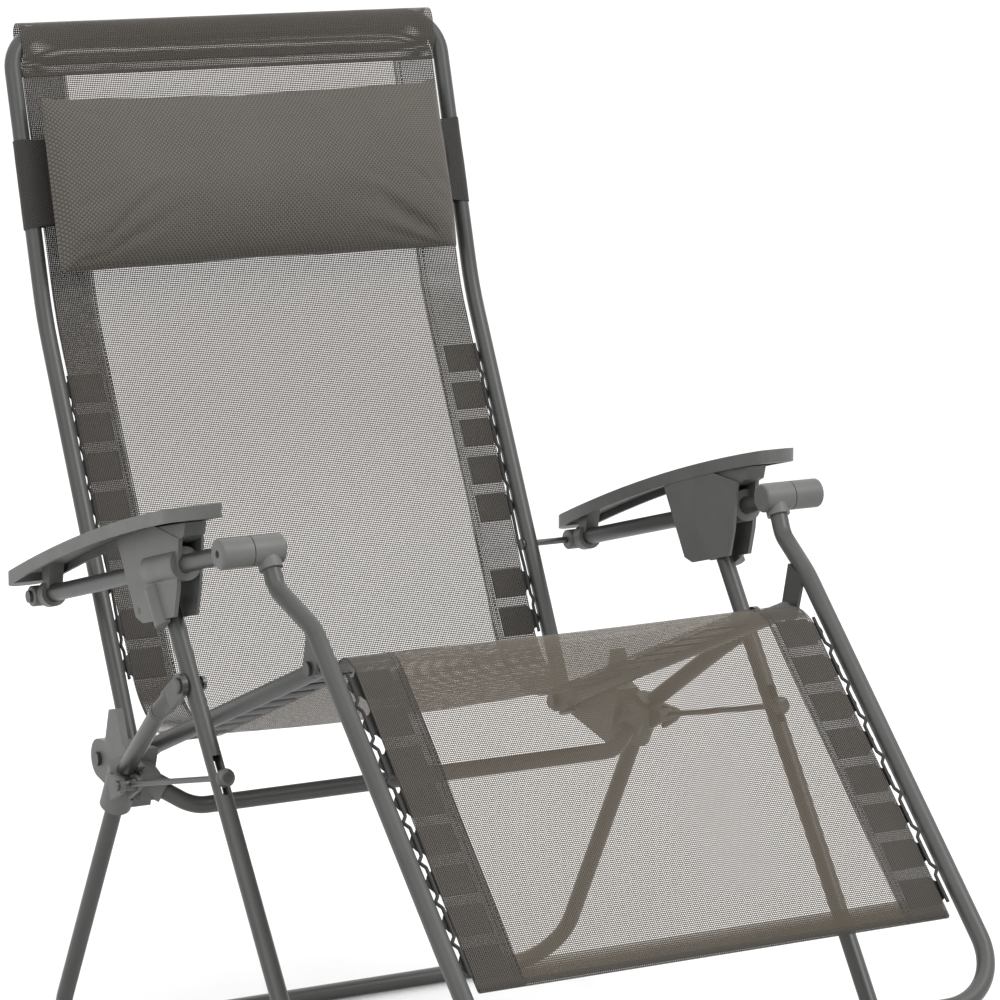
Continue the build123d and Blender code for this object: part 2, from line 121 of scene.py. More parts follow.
def rounded(points, radii, spacing=0.008):
    """Samples of straight runs joined by arcs, one radius for each inner corner."""
    line = [points[0]]
    for i in range(1, len(points) - 1):
        back, corner, ahead = points[i - 1], points[i], points[i + 1]
        u, w = unit(corner, back), unit(corner, ahead)
        inner = math.acos(max(-1, min(1, u[0] * w[0] + u[1] * w[1])))
        tangent = radii[i - 1] / math.tan(inner / 2)
        bisector = (u[0] + w[0], u[1] + w[1])
        size = math.hypot(*bisector)
        reach = radii[i - 1] / math.sin(inner / 2) / size
        centre = (corner[0] + bisector[0] * reach, corner[1] + bisector[1] * reach)
        first = step(corner, back, tangent)
        last = step(corner, ahead, tangent)
        a0 = math.atan2(first[1] - centre[1], first[0] - centre[0])
        a1 = math.atan2(last[1] - centre[1], last[0] - centre[0])
        turn = (a1 - a0 + math.pi) % (2 * math.pi) - math.pi
        count = max(6, int(abs(turn) * radii[i - 1] / 0.005))
        for k in range(count + 1):
            a = a0 + turn * k / count
            line.append((centre[0] + radii[i - 1] * math.cos(a), centre[1] + radii[i - 1] * math.sin(a)))
    line.append(points[-1])
    even = [line[0]]
    for a, b in zip(line, line[1:]):
        parts = max(1, round(distance(a, b) / spacing))
        even += [vec2(a, b, (k + 1) / parts) for k in range(parts)]
    return even


def lengths(line):
    total, out = 0.0, [0.0]
    for a, b in zip(line, line[1:]):
        total += distance(a, b)
        out.append(total)
    return out


def nearest(line, point):
    return min(range(len(line)), key=lambda i: distance(line[i], point))


def normals(line):
    """Front or upper normals of a side-view line that runs from the top of the back to the foot end."""
    out = []
    for i in range(len(line)):
        a, b = line[max(0, i - 1)], line[min(len(line) - 1, i + 1)]
        t = unit(a, b)
        out.append((t[1], -t[0]))
    return out


SEAT_PIVOT = joint_side("seat_tilt")
KNEE_PIVOT = joint_side("knee_fold")
sleeve_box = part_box("top_sleeve")
TOP_BAR = ((sleeve_box[0].y + sleeve_box[1].y) / 2, (sleeve_box[0].z + sleeve_box[1].z) / 2)
back_line = panel_line("back_sling")
leg_line = panel_line("leg_sling")
UP_BACK = unit(SEAT_PIVOT, back_line[0])


def crossing(a, da, b, db):
    """Where the line through a along da meets the line through b along db."""
    det = da[0] * -db[1] + db[0] * da[1]
    t = ((b[0] - a[0]) * -db[1] + db[0] * (b[1] - a[1])) / det
    return (a[0] + da[0] * t, a[1] + da[1] * t)


top_end = back_line[-1]
UP_TOP = unit(top_end, TOP_BAR)
BACK_BEND = crossing(SEAT_PIVOT, UP_BACK, TOP_BAR, UP_TOP)
knee_corner = leg_line[-1]
CREST = (knee_corner[0] + CREST_RISE[0], knee_corner[1] + CREST_RISE[1])
HEM = leg_line[0]
FRONT_N = (-UP_TOP[1], UP_TOP[0])

sling_top = (TOP_BAR[0] - UP_TOP[0] * SEAM_DROP, TOP_BAR[1] - UP_TOP[1] * SEAM_DROP)
LINE = rounded([sling_top, BACK_BEND, SEAT_PIVOT, CREST, HEM], [BACK_BEND_R, CORNER_R, CREST_R])
AT = lengths(LINE)
NORMAL = normals(LINE)


I_CORNER = nearest(LINE, SEAT_PIVOT)
I_CREST = nearest(LINE, CREST)
I_SEAT = nearest(LINE, vec2(SEAT_PIVOT, KNEE_PIVOT, 0.5))
I_BEND = nearest(LINE, BACK_BEND)

BACK_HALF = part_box("back_sling")[1].x + 0.003
SEAT_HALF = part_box("seat_sling")[1].x + 0.002
LEG_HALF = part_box("leg_sling")[1].x + 0.001


def half_width(i):
    """Half width of the sling at a station: it follows the frame that it is laced to."""
    stations = [
        (0, TOP_HALF),
        (AT[I_BEND], BACK_HALF + 0.001),
        (AT[I_BEND] + 0.18, BACK_HALF),
        (AT[I_CORNER], BACK_HALF - 0.004),
        (AT[I_CORNER] + 0.1, SEAT_HALF),
        (AT[I_CREST] - 0.09, SEAT_HALF),
        (AT[I_CREST] + 0.03, LEG_HALF - 0.003),
        (AT[-1], LEG_HALF),
    ]
    for (s0, w0), (s1, w1) in zip(stations, stations[1:]):
        if AT[i] <= s1:
            t = max(0.0, (AT[i] - s0) / (s1 - s0))
            t = t * t * (3 - 2 * t)
            return w0 + (w1 - w0) * t
    return LEG_HALF


def sag(i, share):
    """The sling bows a few millimetres between its two laced edges."""
    on_seat = math.exp(-(((AT[i] - AT[I_SEAT]) / 0.2) ** 2))
    on_back = math.exp(-(((AT[i] - AT[I_BEND] - 0.1) / 0.25) ** 2))
    inner = max(0.0, 1 - (abs(share) / 0.84) ** 2)
    return -(0.009 * on_seat + 0.005 * on_back) * inner


# ---------------------------------------------------------------- mesh helpers
def link(name, mesh, material):
    obj = bpy.data.objects.new(name, mesh)
    bpy.context.scene.collection.objects.link(obj)
    mesh.materials.append(material)
    for p in mesh.polygons:
        p.use_smooth = True
    return obj


def grid_piece(name, rows, material):
    """Mesh from rows of (point, (u, v)) pairs; u and v are metres along the cloth."""
    mesh = bpy.data.meshes.new(name)
    wide = len(rows[0])
    verts = [p for row in rows for p, _ in row]
    faces = []
    for r in range(len(rows) - 1):
        for c in range(wide - 1):
            a = r * wide + c
            faces.append((a, a + 1, a + wide + 1, a + wide))
    mesh.from_pydata(verts, [], faces)
    uvs = [uv for row in rows for _, uv in row]
    layer = mesh.uv_layers.new(name="cloth")
    for loop in mesh.loops:
        layer.data[loop.index].uv = uvs[loop.vertex_index]
    return link(name, mesh, material)


def joined(name, objects):
    """One object from several made by this script."""
    bpy.ops.object.select_all(action="DESELECT")
    for o in objects:
        o.select_set(True)
    bpy.context.view_layer.objects.active = objects[0]
    if len(objects) > 1:
        bpy.ops.object.join()
    objects[0].name = name
    objects[0].data.name = name
    return objects[0]


def bmesh_piece(name, bm, material):
    mesh = bpy.data.meshes.new(name)
    bm.to_mesh(mesh)
    bm.free()
    return link(name, mesh, material)


def place(i, x, n):
    """Point on the sling's side-view line at station i, x across and n in front of it."""
    y, z = LINE[i]
    return Vector((x, y + NORMAL[i][0] * n, z + NORMAL[i][1] * n))


# ---------------------------------------------------------------- material helpers
def new_material(name):
    mat = bpy.data.materials.new(name)
    mat.use_nodes = True
    tree = mat.node_tree
    tree.nodes.clear()
    out = tree.nodes.new("ShaderNodeOutputMaterial")
    shader = tree.nodes.new("ShaderNodeBsdfPrincipled")
    tree.links.new(shader.outputs[0], out.inputs["Surface"])
    return mat, tree, shader


def feed(tree, socket, value):
    if isinstance(value, bpy.types.NodeSocket):
        tree.links.new(value, socket)
    else:
        socket.default_value = value


def calc(tree, op, a, b=0.0, c=0.0):
    n = tree.nodes.new("ShaderNodeMath")
    n.operation = op
    for socket, value in zip(n.inputs, (a, b, c)):
        feed(tree, socket, value)
    return n.outputs[0]


def mix_colour(tree, factor, a, b):
    n = tree.nodes.new("ShaderNodeMix")
    n.data_type = "RGBA"
    feed(tree, n.inputs["Factor"], factor)
    feed(tree, n.inputs[6], a)
    feed(tree, n.inputs[7], b)
    return n.outputs[2]


def noise_of(tree, vector, scale, detail=3.0, rough=0.55):
    n = tree.nodes.new("ShaderNodeTexNoise")
    n.inputs["Scale"].default_value = scale
    n.inputs["Detail"].default_value = detail
    n.inputs["Roughness"].default_value = rough
    tree.links.new(vector, n.inputs["Vector"])
    return n.outputs["Fac"]


def ranged(tree, value, low, high, to_low, to_high):
    n = tree.nodes.new("ShaderNodeMapRange")
    feed(tree, n.inputs[0], value)
    for socket, number in zip(n.inputs[1:5], (low, high, to_low, to_high)):
        socket.default_value = number
    return n.outputs[0]


def bump(tree, shader, height, depth, strength=1.0, after=None):
    n = tree.nodes.new("ShaderNodeBump")
    n.inputs["Strength"].default_value = strength
    n.inputs["Distance"].default_value = depth
    tree.links.new(height, n.inputs["Height"])
    if after:
        tree.links.new(after, n.inputs["Normal"])
    tree.links.new(n.outputs[0], shader.inputs["Normal"])
    return n.outputs[0]


def linear(r, g, b):
    """8-bit display colour as a linear one."""
    return tuple(((c / 255 + 0.055) / 1.055) ** 2.4 for c in (r, g, b)) + (1.0,)


# ---------------------------------------------------------------- fabric materials
def weave_fields(tree, u, v, pitch, share):
    """Plain weave: thread cover, height and which thread is on top, from cloth coordinates."""
    cell_u = calc(tree, "DIVIDE", u, pitch)
    cell_v = calc(tree, "DIVIDE", v, pitch)

    def off_centre(cell_place):
        centred = calc(tree, "SUBTRACT", calc(tree, "FRACT", cell_place), 0.5)
        return calc(tree, "MULTIPLY", calc(tree, "ABSOLUTE", centred), 2.0)

    fu = off_centre(cell_u)
    fv = off_centre(cell_v)
    warp = calc(tree, "LESS_THAN", fu, share)
    weft = calc(tree, "LESS_THAN", fv, share)
    cover = calc(tree, "MAXIMUM", warp, weft)
    cell = calc(tree, "ADD", calc(tree, "FLOOR", cell_u), calc(tree, "FLOOR", cell_v))
    parity = calc(tree, "MULTIPLY", calc(tree, "FRACT", calc(tree, "MULTIPLY", cell, 0.5)), 2.0)

    def crown(f):
        r = calc(tree, "DIVIDE", f, share)
        return calc(tree, "MAXIMUM", calc(tree, "SUBTRACT", 1.0, calc(tree, "MULTIPLY", r, r)), 0.0)

    over = calc(tree, "MULTIPLY", crown(fu), calc(tree, "MULTIPLY_ADD", parity, 0.5, 0.5))
    under = calc(tree, "MULTIPLY", crown(fv), calc(tree, "MULTIPLY_ADD", parity, -0.5, 1.0))
    height = calc(tree, "MAXIMUM", over, under)
    top = calc(tree, "GREATER_THAN", over, under)
    return cover, height, top


def fabric(name, share, light, dark, see_through, pitch=THREAD_PITCH, use_uv=True, tilt=0.0):
    """Coated polyester mesh; share is how much of the pitch a thread fills."""
    mat, tree, shader = new_material(name)
    coord = tree.nodes.new("ShaderNodeTexCoord")
    split = tree.nodes.new("ShaderNodeSeparateXYZ")
    if use_uv:
        tree.links.new(coord.outputs["UV"], split.inputs[0])
        u, v = split.outputs[0], split.outputs[1]
    else:
        turn = tree.nodes.new("ShaderNodeMapping")
        turn.inputs["Rotation"].default_value = (tilt, 0, 0)
        tree.links.new(coord.outputs["Object"], turn.inputs["Vector"])
        tree.links.new(turn.outputs[0], split.inputs[0])
        u, v = split.outputs[0], split.outputs[2]
    cover, height, top = weave_fields(tree, u, v, pitch, share)
    slow = noise_of(tree, coord.outputs["Object"], 9.0, 4.0)
    fine = noise_of(tree, coord.outputs["Object"], 900.0, 2.0)
    tint = calc(tree, "MULTIPLY_ADD", fine, 0.5, calc(tree, "MULTIPLY_ADD", top, 0.55, -0.05))
    colour = mix_colour(tree, tint, dark, light)
    faded = mix_colour(tree, ranged(tree, slow, 0.35, 0.75, 0.0, 0.16), colour, light)
    tree.links.new(faded, shader.inputs["Base Color"])
    tree.links.new(ranged(tree, fine, 0.2, 0.8, 0.48, 0.66), shader.inputs["Roughness"])
    shader.inputs["Sheen Weight"].default_value = 0.05
    shader.inputs["Specular IOR Level"].default_value = 0.3
    if see_through:
        tree.links.new(cover, shader.inputs["Alpha"])
    bump(tree, shader, height, 0.0005, 0.9)
    return mat


MESH = fabric("mesh_single", 0.46, linear(99, 88, 73), linear(51, 45, 37), True)
EDGE = fabric("mesh_edge", 0.44, linear(88, 83, 76), linear(44, 41, 37), True)
BAND = fabric("mesh_band", 0.47, linear(80, 75, 67), linear(40, 37, 33), True)
SLEEVE = fabric("mesh_sleeve", 0.62, linear(84, 79, 72), linear(40, 37, 33), True)
PILLOW_TILT = math.atan2(UP_TOP[0], UP_TOP[1])
PILLOW = fabric("pillow_weave", 1.0, linear(98, 93, 86), linear(36, 33, 30), False,
                pitch=0.0024, use_uv=False, tilt=PILLOW_TILT)
STRAP = fabric("strap_weave", 0.86, linear(54, 51, 47), linear(24, 22, 20), True)


def thread_material():
    """Twisted sewing thread."""
    mat, tree, shader = new_material("sewing_thread")
    coord = tree.nodes.new("ShaderNodeTexCoord")
    twist = tree.nodes.new("ShaderNodeTexWave")
    twist.inputs["Scale"].default_value = 900.0
    tree.links.new(coord.outputs["Object"], twist.inputs["Vector"])
    thread = mix_colour(tree, twist.outputs["Fac"], linear(28, 25, 22), linear(56, 50, 43))
    tree.links.new(thread, shader.inputs["Base Color"])
    shader.inputs["Roughness"].default_value = 0.6
    bump(tree, shader, twist.outputs["Fac"], 0.0001)
    return mat


def cord_material():
    """Braided elastic: crossing diagonal strands."""
    mat, tree, shader = new_material("elastic_braid")
    coord = tree.nodes.new("ShaderNodeTexCoord")
    waves = []
    for sign in (1, -1):
        turn = tree.nodes.new("ShaderNodeMapping")
        turn.inputs["Rotation"].default_value = (0.6, sign * 0.8, sign * 0.8)
        tree.links.new(coord.outputs["Object"], turn.inputs["Vector"])
        wave = tree.nodes.new("ShaderNodeTexWave")
        wave.inputs["Scale"].default_value = 420.0
        tree.links.new(turn.outputs[0], wave.inputs["Vector"])
        waves.append(wave.outputs["Fac"])
    braid = calc(tree, "MAXIMUM", waves[0], waves[1])
    strands = mix_colour(tree, braid, linear(14, 14, 14), linear(48, 47, 45))
    tree.links.new(strands, shader.inputs["Base Color"])
    shader.inputs["Roughness"].default_value = 0.72
    bump(tree, shader, braid, 0.0002)
    return mat


# ---------------------------------------------------------------- hard materials
def coated_metal():
    """Grey powder coat: fine orange peel, slight mottling, dull scuffs."""
    mat, tree, shader = new_material("powder_coat")
    coord = tree.nodes.new("ShaderNodeTexCoord").outputs["Object"]
    mottle = noise_of(tree, coord, 14.0, 5.0)
    peel = noise_of(tree, coord, 1500.0, 2.0)
    speck = noise_of(tree, coord, 2600.0, 1.0)
    scuff = noise_of(tree, coord, 55.0, 8.0, 0.75)
    base = mix_colour(tree, ranged(tree, mottle, 0.3, 0.7, 0.0, 1.0), linear(58, 59, 57), linear(65, 66, 64))
    dots = mix_colour(tree, ranged(tree, speck, 0.62, 0.72, 0.0, 0.4), base, linear(112, 112, 109))
    worn = mix_colour(tree, ranged(tree, scuff, 0.69, 0.78, 0.0, 0.3), dots, linear(108, 107, 104))
    tree.links.new(worn, shader.inputs["Base Color"])
    shader.inputs["Metallic"].default_value = 0.35
    tree.links.new(ranged(tree, mottle, 0.2, 0.8, 0.36, 0.46), shader.inputs["Roughness"])
    shader.inputs["Coat Weight"].default_value = 0.12
    shader.inputs["Coat Roughness"].default_value = 0.35
    bump(tree, shader, peel, 0.00006, 0.7)
    return mat


def moulded(name, light, dark, rough, grain_depth):
    """Moulded plastic: spark-eroded grain, faint flow marks and rub marks."""
    mat, tree, shader = new_material(name)
    coord = tree.nodes.new("ShaderNodeTexCoord").outputs["Object"]
    flow = noise_of(tree, coord, 22.0, 3.0)
    rub = noise_of(tree, coord, 90.0, 8.0, 0.8)
    cells = tree.nodes.new("ShaderNodeTexVoronoi")
    cells.inputs["Scale"].default_value = 1300.0
    tree.links.new(coord, cells.inputs["Vector"])
    base = mix_colour(tree, ranged(tree, flow, 0.3, 0.7, 0.0, 1.0), dark, light)
    rub_light = tuple(min(1, c * 1.5) for c in light)
    rubbed = mix_colour(tree, ranged(tree, rub, 0.68, 0.8, 0.0, 0.25), base, rub_light)
    tree.links.new(rubbed, shader.inputs["Base Color"])
    tree.links.new(ranged(tree, rub, 0.3, 0.8, rough + 0.06, rough - 0.08), shader.inputs["Roughness"])
    bump(tree, shader, cells.outputs["Distance"], grain_depth, 0.8)
    return mat


def zinc():
    """Zinc-plated steel: fine drawn lines and a dull patina."""
    mat, tree, shader = new_material("zinc_plate")
    coord = tree.nodes.new("ShaderNodeTexCoord").outputs["Object"]
    cloud = noise_of(tree, coord, 160.0, 5.0)
    drawn = tree.nodes.new("ShaderNodeMapping")
    drawn.inputs["Scale"].default_value = (400, 2600, 2600)
    tree.links.new(coord, drawn.inputs["Vector"])
    lines = noise_of(tree, drawn.outputs[0], 1.0, 2.0)
    patina = mix_colour(tree, cloud, linear(74, 74, 73), linear(104, 104, 101))
    tree.links.new(patina, shader.inputs["Base Color"])
    shader.inputs["Metallic"].default_value = 0.9
    tree.links.new(ranged(tree, cloud, 0.2, 0.8, 0.32, 0.5), shader.inputs["Roughness"])
    bump(tree, shader, lines, 0.00004, 0.6)
    return mat


FINISH = {
    "painted_tube": coated_metal(),
    "grey_plastic": moulded("grey_moulding", linear(88, 89, 87), linear(79, 80, 78), 0.5, 0.00005),
    "black_plastic": moulded("black_moulding", linear(26, 26, 26), linear(18, 18, 18), 0.5, 0.00004),
    "elastic_cord": cord_material(),
    "zinc_steel": zinc(),
    "mesh_fabric": MESH,
    "pillow_fabric": PILLOW,
}
THREAD = thread_material()
for subpart in frame["record"]["subparts"]:
    shown = NODES[subpart["node"]]
    shown.data.materials.clear()
    shown.data.materials.append(FINISH[subpart["material_slot"]])


# ---------------------------------------------------------------- sling
ACROSS = 26
EDGE_COLUMNS = 4          # of these, over each doubled edge


def sling_sheet(name, first, last):
    """One stretch of the sling's cloth between two stations."""
    rows = []
    for i in range(first, last + 1):
        half = half_width(i)
        seam = 1 - BAND_W / half
        middle = ACROSS - 2 * EDGE_COLUMNS
        shares = [-1 + (1 - seam) * k / EDGE_COLUMNS for k in range(EDGE_COLUMNS)]
        shares += [-seam + 2 * seam * k / middle for k in range(middle + 1)]
        shares += [seam + (1 - seam) * (k + 1) / EDGE_COLUMNS for k in range(EDGE_COLUMNS)]
        rows.append([(place(i, t * half, sag(i, t)), (t * half, AT[i])) for t in shares])
    sheet = grid_piece(name, rows, MESH)
    sheet.data.materials.append(EDGE)
    for p in sheet.data.polygons:
        column = p.index % ACROSS
        if column < EDGE_COLUMNS or column >= ACROSS - EDGE_COLUMNS:
            p.material_index = 1
    return sheet


def band_profile(half):
    """The doubled edge in cross-section: (x, n) from its inner edge round the fold to the front."""
    inner = half - BAND_W
    flat = [(inner, -BAND_BEHIND * 0.5), (inner + 0.004, -BAND_BEHIND)]
    flat += [(inner + 0.014, -BAND_BEHIND), (inner + 0.026, -BAND_BEHIND), (inner + 0.038, -BAND_BEHIND)]
    turn = []
    for k in range(7):
        a = -math.pi / 2 + math.pi * k / 6
        r = BAND_BEHIND / 2 + 0.0001
        turn.append((half - 0.0006 + r * math.cos(a), -r + 0.0002 + r * math.sin(a)))
    return flat + turn


def band_strip(name, first, last, side):
    rows = []
    for i in range(first, last + 1):
        profile = band_profile(half_width(i))
        row, run = [], 0.0
        for k, (x, n) in enumerate(profile):
            if k:
                run += math.hypot(x - profile[k - 1][0], n - profile[k - 1][1])
            ripple = 0.0004 * noise.noise(Vector((side * 5 + k * 0.3, AT[i] * 60, 1)))
            across = side * (half_width(i) - BAND_W + run)
            row.append((place(i, side * x, n + ripple), (across, AT[i] + BAND_WEAVE_SHIFT)))
        rows.append(row if side > 0 else row[::-1])
    return grid_piece(name, rows, BAND)


def stitch_rows(name, first, last):
    """Two rows of stitches along the inner edge of each band."""
    bm = bmesh.new()
    for side in (1, -1):
        for inset in (BAND_W - 0.0022, BAND_W - 0.0075):
            s = AT[first] + STITCH_PITCH / 2
            i = first
            while s < AT[last] - STITCH_PITCH / 2:
                while AT[i + 1] < s:
                    i += 1
                t = (s - AT[i]) / (AT[i + 1] - AT[i])
                half = half_width(i)
                x = side * (half - inset)
                a = place(i, x, 0.0002 + sag(i, x / half))
                b = place(i + 1, x, 0.0002 + sag(i + 1, x / half))
                centre = a.lerp(b, t)
                along = (b - a).normalized()
                normal = Vector((0, NORMAL[i][0], NORMAL[i][1]))
                add_stitch(bm, centre, along, normal)
                s += STITCH_PITCH
    return bmesh_piece(name, bm, THREAD)


def add_stitch(bm, centre, along, normal):
    """A spindle that rises a little out of the cloth."""
    across = along.cross(normal)
    ends = [bm.verts.new(centre + along * (s * STITCH_LEN / 2) - normal * 0.0002) for s in (-1, 1)]
    rings = []
    for s in (-0.25, 0.25):
        ring = []
        for k in range(6):
            a = 2 * math.pi * k / 6
            off = across * (0.00042 * math.cos(a)) + normal * (0.00034 * math.sin(a) + 0.00012)
            ring.append(bm.verts.new(centre + along * (s * STITCH_LEN) + off))
        rings.append(ring)
    for k in range(6):
        n = (k + 1) % 6
        bm.faces.new((ends[0], rings[0][k], rings[0][n]))
        bm.faces.new((rings[0][k], rings[1][k], rings[1][n], rings[0][n]))
        bm.faces.new((rings[1][k], ends[1], rings[1][n]))


def side3(point):
    return (0, point[0], point[1])


def arc_end(corner, toward_point, other, radius):
    """Where the rounding of a corner of the sling ends on its way to toward_point."""
    u, w = unit(corner, toward_point), unit(corner, other)
    inner = math.acos(u[0] * w[0] + u[1] * w[1])
    return step(corner, toward_point, radius / math.tan(inner / 2))


MID_CORNER = side3(LINE[I_CORNER])
MID_CREST = side3(LINE[I_CREST])
SEGMENTS = [
    ("back", 0, I_CORNER, "back_pivots", "back_frame", MID_CORNER,
     side3(arc_end(SEAT_PIVOT, BACK_BEND, CREST, CORNER_R)), ["back_sling"]),
    ("seat_rear", I_CORNER, I_SEAT, "seat_frame", "back_pivots",
     side3(arc_end(SEAT_PIVOT, CREST, BACK_BEND, CORNER_R)), MID_CORNER, ["seat_sling"]),
    ("seat_front", I_SEAT, I_CREST, "seat_frame", "knee_pivots",
     side3(arc_end(CREST, SEAT_PIVOT, HEM, CREST_BLEND_R)), MID_CREST, []),
    ("leg", I_CREST, len(LINE) - 1, "knee_pivots", "foot_frame", MID_CREST,
     side3(arc_end(CREST, HEM, SEAT_PIVOT, CREST_BLEND_R)), ["leg_sling"]),
]


def make_sling():
    for name, first, last, body_a, body_b, start, end, nodes in SEGMENTS:
        cloth = sling_sheet(f"sling_{name}", first, last)
        if nodes:
            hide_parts(*nodes)
        strips = [band_strip(f"band_{name}_{k}", first, last, side) for k, side in enumerate((1, -1))]
        bands = joined(f"sling_bands_{name}", strips)
        seams = stitch_rows(f"sling_stitches_{name}", first, last)
        for piece in (cloth, bands, seams):
            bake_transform(piece)


make_sling()


def make_hem():
    """Turned hem across the foot end of the sling, folded to the back."""
    down = unit(LINE[-2], LINE[-1])
    n = NORMAL[-1]
    route = [(-HEM_DEPTH, -0.0034), (-HEM_DEPTH * 0.5, -0.0046), (-0.003, -0.0044), (0.0004, -0.0034)]
    route += [(0.0018, -0.0018), (0.0012, 0.0002), (-0.002, 0.0007), (-0.006, 0.0006)]
    rows = []
    for k in range(ACROSS + 1):
        x = (-1 + 2 * k / ACROSS) * (LEG_HALF - 0.0005)
        row, run = [], 0.0
        for j, (s, h) in enumerate(route):
            if j:
                run += math.hypot(s - route[j - 1][0], h - route[j - 1][1])
            p = Vector((x, HEM[0] + down[0] * s + n[0] * h, HEM[1] + down[1] * s + n[1] * h))
            row.append((p, (x, run)))
        rows.append(row)
    hem = grid_piece("sling_hem", rows, BAND)
    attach(hem, "foot_frame")


make_hem()


def make_top_sleeve():
    """Pocket of cloth round the top bar, sewn shut below it."""
    rows = []
    reach = TUBE_R + 0.0016
    for k in range(ACROSS * 2 + 1):
        x = (-1 + k / ACROSS) * (TOP_HALF + 0.0015)
        open_end = max(0.0, (abs(x) - 0.195) / 0.055) ** 1.5
        waist = 0.014 + 0.016 * min(1, open_end)
        side = [(SEAM_DROP + 0.003, 0.0016), (SEAM_DROP - 0.006, 0.0020)]
        side += [(SEAM_DROP - 0.014, 0.0046 + 0.004 * open_end), (waist, reach - 0.0012), (0.006, reach)]
        over = []
        for j in range(9):
            a = math.pi * j / 8
            over.append((-reach * math.sin(a) * 0.97, reach * math.cos(a)))
        route = side + over + [(s, -n) for s, n in reversed(side)]
        row, run = [], 0.0
        for j, (s, n) in enumerate(route):
            if j:
                run += math.hypot(s - route[j - 1][0], n - route[j - 1][1])
            n += 0.0007 * noise.noise(Vector((x * 30, j * 0.7, 3)))
            y = TOP_BAR[0] - UP_TOP[0] * s + FRONT_N[0] * n
            z = TOP_BAR[1] - UP_TOP[1] * s + FRONT_N[1] * n
            row.append((Vector((x, y, z)), (x, run)))
        rows.append(row)
    sleeve = grid_piece("top_sleeve_cloth", rows, SLEEVE)
    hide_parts("top_sleeve")
    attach(sleeve, "back_frame")
    bm = bmesh.new()
    up = Vector((0, UP_TOP[0], UP_TOP[1]))
    normal = Vector((0, FRONT_N[0], FRONT_N[1]))
    centre = Vector((0, TOP_BAR[0], TOP_BAR[1]))
    for drop, height in ((SEAM_DROP - 0.002, 0.0019), (SEAM_DROP - 0.0085, 0.0032)):
        count = int(2 * TOP_HALF / STITCH_PITCH)
        for k in range(count):
            x = -TOP_HALF + 0.003 + k * STITCH_PITCH
            spot = centre - up * drop + normal * height + Vector((x, 0, 0))
            add_stitch(bm, spot, Vector((1, 0, 0)), normal)
    seam = bmesh_piece("top_sleeve_stitches", bm, THREAD)
    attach(seam, "back_frame")


make_top_sleeve()


# ---------------------------------------------------------------- clips in the bands
# (kit, body, start, point it runs towards, distance of the first clip from the start)
LACED = [
    ("back", "back_frame", SEAT_PIVOT, BACK_BEND, 0.096),
    ("seat", "seat_frame", SEAT_PIVOT, KNEE_PIVOT, 0.096),
    ("leg", "foot_frame", knee_corner, HEM, 0.032),
]
CLIP_COUNT = 8
CLIP_LEFT_OUT = ("back", 2)   # beside the arm bolt
CLIP_INWARD = 0.038           # how far a clip reaches into the band


def add_clip(bm, centre, along, normal, side, reach):
    """Flat clip inside the band with a hook that stands out of its edge towards the tube."""
    outward = Vector((side, 0, 0))
    outline = [(-CLIP_INWARD, -0.5), (-CLIP_INWARD, 0.5), (-0.002, 0.5), (0.001, 0.36)]
    outline += [(reach * 0.55, 0.30), (reach * 0.9, 0.14), (reach, 0.0)]
    outline += [(reach * 0.9, -0.14), (reach * 0.55, -0.30), (0.001, -0.36), (-0.002, -0.5)]
    loops = []
    for n, shrink in ((-0.00205, 0.94), (-0.0018, 1.0), (-0.0008, 1.0), (-0.00055, 0.94)):
        ring = []
        for dx, ds in outline:
            flat = outward * (dx * shrink) + along * (ds * CLIP_LEN * shrink)
            ring.append(bm.verts.new(centre + flat + normal * n))
        loops.append(ring)
    count = len(outline)
    for low, high in zip(loops, loops[1:]):
        for k in range(count):
            n = (k + 1) % count
            bm.faces.new((low[k], low[n], high[n], high[k]))
    bm.faces.new(loops[0][::-1])
    bm.faces.new(loops[-1])


def make_clips():
    for kit, body, start, toward_point, first in LACED:
        for side, word in ((1, "left"), (-1, "right")):
            bm = bmesh.new()
            gap_edge = abs(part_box(f"{kit}_clips_{word}")[1 if side > 0 else 0].x)
            for k in range(CLIP_COUNT):
                if (kit, k) == CLIP_LEFT_OUT:
                    continue
                p = step(start, toward_point, first + CLIP_PITCH * k)
                i = nearest(LINE, p)
                half = half_width(i)
                along = Vector((0, *unit(LINE[i - 1], LINE[min(i + 1, len(LINE) - 1)])))
                normal = Vector((0, NORMAL[i][0], NORMAL[i][1]))
                centre = Vector((side * half, p[0], p[1]))
                add_clip(bm, centre, along, normal, side, max(0.004, gap_edge - half + 0.001))
            bmesh.ops.recalc_face_normals(bm, faces=bm.faces)
            piece = bmesh_piece(f"{kit}_edge_clips_{word}", bm, FINISH["black_plastic"])
            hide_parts(f"{kit}_clips_{word}")
            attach(piece, body)


make_clips()


# ---------------------------------------------------------------- head pillow
PILLOW_SHIFT = Vector((-0.008, 0, -0.003))   # the pillow hangs a little to one side
PILLOW_HALF_H = 0.095
PILLOW_EDGE = 0.0022          # half thickness of its sewn ends
PILLOW_FULL = 0.0330          # half thickness that the filling adds
PILLOW_STATIONS = 44
PILLOW_AROUND = 40
PILLOW_CAP = 0.016            # furthest that the cloth simulation moves a point
PILLOW_PRESSURE = 4.0
PILLOW_VOXEL = 0.005
PILLOW_PINNED = 0.012         # width of the held strip at each end
PILLOW_BACK = 0.0305          # the back lies flat on the sling
PILLOW_FRONT = -0.060
PUFF_FRAMES = 20


